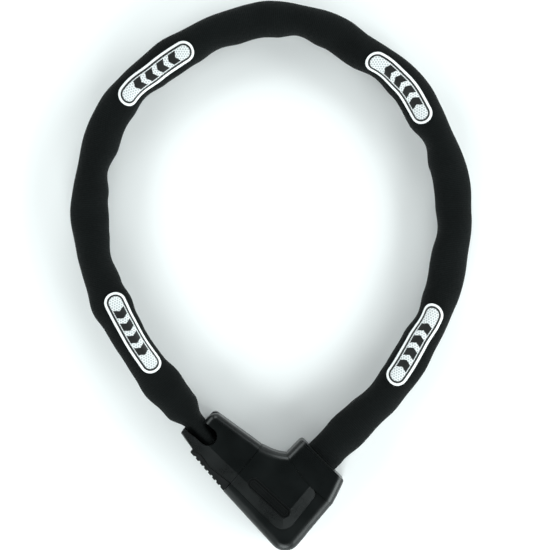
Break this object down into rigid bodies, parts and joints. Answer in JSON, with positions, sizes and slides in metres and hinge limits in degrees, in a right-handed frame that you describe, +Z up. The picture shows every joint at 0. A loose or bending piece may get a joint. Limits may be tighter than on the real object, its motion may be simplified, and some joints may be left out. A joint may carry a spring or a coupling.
{
  "type": "chain bike lock",
  "caption": "Bike lock of square steel chain in a textile sleeve, closed into a loop by a plug that enters a V-shaped lock body with a key cylinder.",
  "frame": {"origin": "centre of the loop's overall box, on the surface that the lock lies on", "axes": "+Z up, out of the plane of the loop; +Y from the lock body across the loop to its far end; +X to the right, towards the side that leaves the collar"},
  "size_m": [0.2681, 0.3668, 0.03],
  "materials": {
    "body_plastic": "satin moulded, fine texture",
    "bumper_plastic": "satin moulded",
    "trim_plastic": "satin moulded",
    "grip_rubber": "matte, ribbed",
    "hard_steel": "hardened and ground",
    "cylinder_brass": "turned",
    "chain_steel": "hardened, zinc plated",
    "sleeve_textile": "ribbed woven textile",
    "label_print": "white reflective print with a black inset line"
  },
  "bodies": {
    "lock_body": {"front_cover": "body_plastic", "rear_cover": "body_plastic", "maker_plate": "trim_plastic", "rim_bumper": "bumper_plastic", "chain_collar": "body_plastic", "collar_trim": "trim_plastic", "lock_core": "hard_steel", "cylinder_housing": "cylinder_brass", "anchor_bracket": "hard_steel", "anchor_pin": "hard_steel", "anchor_link": "chain_steel", "sleeve_collar_end": "sleeve_textile", "socket_seal": "grip_rubber", "cover_screws": "hard_steel", "housing_screw": "hard_steel"},
    "lock_rotor": {"cylinder_rotor": "cylinder_brass", "detainer_discs": "cylinder_brass", "tail_cam": "hard_steel"},
    "bolt_slide": {"locking_bolt": "hard_steel"},
    "keyhole_shutter": {"keyhole_cover": "trim_plastic"},
    "chain_01": {"chain_links_01": "chain_steel", "sleeve_01": "sleeve_textile"},
    "chain_02": {"chain_links_02": "chain_steel", "sleeve_02": "sleeve_textile", "reflective_label_1": "label_print"},
    "chain_03": {"chain_links_03": "chain_steel", "sleeve_03": "sleeve_textile"},
    "chain_04": {"chain_links_04": "chain_steel", "sleeve_04": "sleeve_textile"},
    "chain_05": {"chain_links_05": "chain_steel", "sleeve_05": "sleeve_textile", "reflective_label_2": "label_print"},
    "chain_06": {"chain_links_06": "chain_steel", "sleeve_06": "sleeve_textile"},
    "chain_07": {"chain_links_07": "chain_steel", "sleeve_07": "sleeve_textile"},
    "chain_08": {"chain_links_08": "chain_steel", "sleeve_08": "sleeve_textile", "reflective_label_3": "label_print"},
    "chain_09": {"chain_links_09": "chain_steel", "sleeve_09": "sleeve_textile"},
    "chain_10": {"chain_links_10": "chain_steel", "sleeve_10": "sleeve_textile"},
    "chain_11": {"chain_links_11": "chain_steel", "sleeve_11": "sleeve_textile", "reflective_label_4": "label_print"},
    "chain_12": {"chain_links_12": "chain_steel", "sleeve_12": "sleeve_textile"},
    "plug": {"plug_front_shell": "body_plastic", "plug_rear_shell": "body_plastic", "thumb_grip": "grip_rubber", "plug_bolt": "hard_steel", "plug_cross_pin": "hard_steel"}
  },
  "joints": [
    {"name": "chain_open", "type": "hinge", "parent": "lock_body", "child": "chain_01", "pos_m": [0.042, -0.1122, 0.015], "axis": [0, 0, 1], "range_deg": [0, 17.6], "deforming": ["sleeve_collar_end", "sleeve_01"]},
    {"name": "chain_bend_01", "type": "hinge", "parent": "chain_01", "child": "chain_02", "pos_m": [0.08465, -0.06725, 0.015], "axis": [0, 0, 1], "range_deg": [-1.5, 6.2], "deforming": ["sleeve_01", "sleeve_02", "reflective_label_1"]},
    {"name": "chain_bend_02", "type": "hinge", "parent": "chain_02", "child": "chain_03", "pos_m": [0.113, -0.0122, 0.015], "axis": [0, 0, 1], "range_deg": [-7.97, 1.5], "deforming": ["sleeve_02", "sleeve_03", "reflective_label_1"]},
    {"name": "chain_bend_03", "type": "hinge", "parent": "chain_03", "child": "chain_04", "pos_m": [0.12053, 0.0492, 0.015], "axis": [0, 0, 1], "range_deg": [-13.65, 1.5], "deforming": ["sleeve_03", "sleeve_04"]},
    {"name": "chain_bend_04", "type": "hinge", "parent": "chain_04", "child": "chain_05", "pos_m": [0.10112, 0.10756, 0.015], "axis": [0, 0, 1], "range_deg": [-13.63, 1.5], "deforming": ["sleeve_04", "sleeve_05", "reflective_label_2"]},
    {"name": "chain_bend_05", "type": "hinge", "parent": "chain_05", "child": "chain_06", "pos_m": [0.05743, 0.15004, 0.015], "axis": [0, 0, 1], "range_deg": [-9.84, 1.5], "deforming": ["sleeve_05", "sleeve_06", "reflective_label_2"]},
    {"name": "chain_bend_06", "type": "hinge", "parent": "chain_06", "child": "chain_07", "pos_m": [0.00002, 0.17074, 0.015], "axis": [0, 0, 1], "range_deg": [-5.3, 1.5], "deforming": ["sleeve_06", "sleeve_07"]},
    {"name": "chain_bend_07", "type": "hinge", "parent": "chain_07", "child": "chain_08", "pos_m": [-0.05827, 0.15093, 0.015], "axis": [0, 0, 1], "range_deg": [-1.5, 4.33], "deforming": ["sleeve_07", "sleeve_08", "reflective_label_3"]},
    {"name": "chain_bend_08", "type": "hinge", "parent": "chain_08", "child": "chain_09", "pos_m": [-0.10494, 0.11052, 0.015], "axis": [0, 0, 1], "range_deg": [-1.5, 4.53], "deforming": ["sleeve_08", "sleeve_09", "reflective_label_3"]},
    {"name": "chain_bend_09", "type": "hinge", "parent": "chain_09", "child": "chain_10", "pos_m": [-0.12244, 0.05138, 0.015], "axis": [0, 0, 1], "range_deg": [-1.5, 5.97], "deforming": ["sleeve_09", "sleeve_10"]},
    {"name": "chain_bend_10", "type": "hinge", "parent": "chain_10", "child": "chain_11", "pos_m": [-0.11225, -0.00946, 0.015], "axis": [0, 0, 1], "range_deg": [-1.5, 6.08], "deforming": ["sleeve_10", "sleeve_11", "reflective_label_4"]},
    {"name": "chain_bend_11", "type": "hinge", "parent": "chain_11", "child": "chain_12", "pos_m": [-0.08188, -0.06339, 0.015], "axis": [0, 0, 1], "range_deg": [-1.5, 4.33], "deforming": ["sleeve_11", "sleeve_12", "reflective_label_4"]},
    {"name": "plug_pivot", "type": "hinge", "parent": "chain_12", "child": "plug", "pos_m": [-0.04151, -0.11044, 0.015], "axis": [0, 0, 1], "range_deg": [-1.5, 4.33], "deforming": ["sleeve_12"]},
    {"name": "key_turn", "type": "hinge", "parent": "lock_body", "child": "lock_rotor", "pos_m": [0.01441, -0.15737, 0.015], "axis": [0.766, -0.6428, 0], "range_deg": [0, 90.1]},
    {"name": "locking_bolt_slide", "type": "slide", "parent": "lock_body", "child": "bolt_slide", "axis": [-0.6428, -0.766, 0], "range_m": [0, 0.003]},
    {"name": "keyhole_cover_slide", "type": "slide", "parent": "lock_body", "child": "keyhole_shutter", "axis": [0.6428, 0.766, 0], "range_m": [0, 0.011]}
  ],
  "couplings": [
    {"joint": "chain_bend_01", "follows": "chain_open", "ratio": 0.2671},
    {"joint": "chain_bend_02", "follows": "chain_open", "ratio": -0.3675},
    {"joint": "chain_bend_03", "follows": "chain_open", "ratio": -0.6901},
    {"joint": "chain_bend_04", "follows": "chain_open", "ratio": -0.6894},
    {"joint": "chain_bend_05", "follows": "chain_open", "ratio": -0.4737},
    {"joint": "chain_bend_06", "follows": "chain_open", "ratio": -0.2158},
    {"joint": "chain_bend_07", "follows": "chain_open", "ratio": 0.1608},
    {"joint": "chain_bend_08", "follows": "chain_open", "ratio": 0.1722},
    {"joint": "chain_bend_09", "follows": "chain_open", "ratio": 0.2542},
    {"joint": "chain_bend_10", "follows": "chain_open", "ratio": 0.2605},
    {"joint": "chain_bend_11", "follows": "chain_open", "ratio": 0.1609},
    {"joint": "plug_pivot", "follows": "chain_open", "ratio": 0.1608},
    {"joint": "key_turn", "follows": "locking_bolt_slide", "rad_per_m": 523.6}
  ]
}
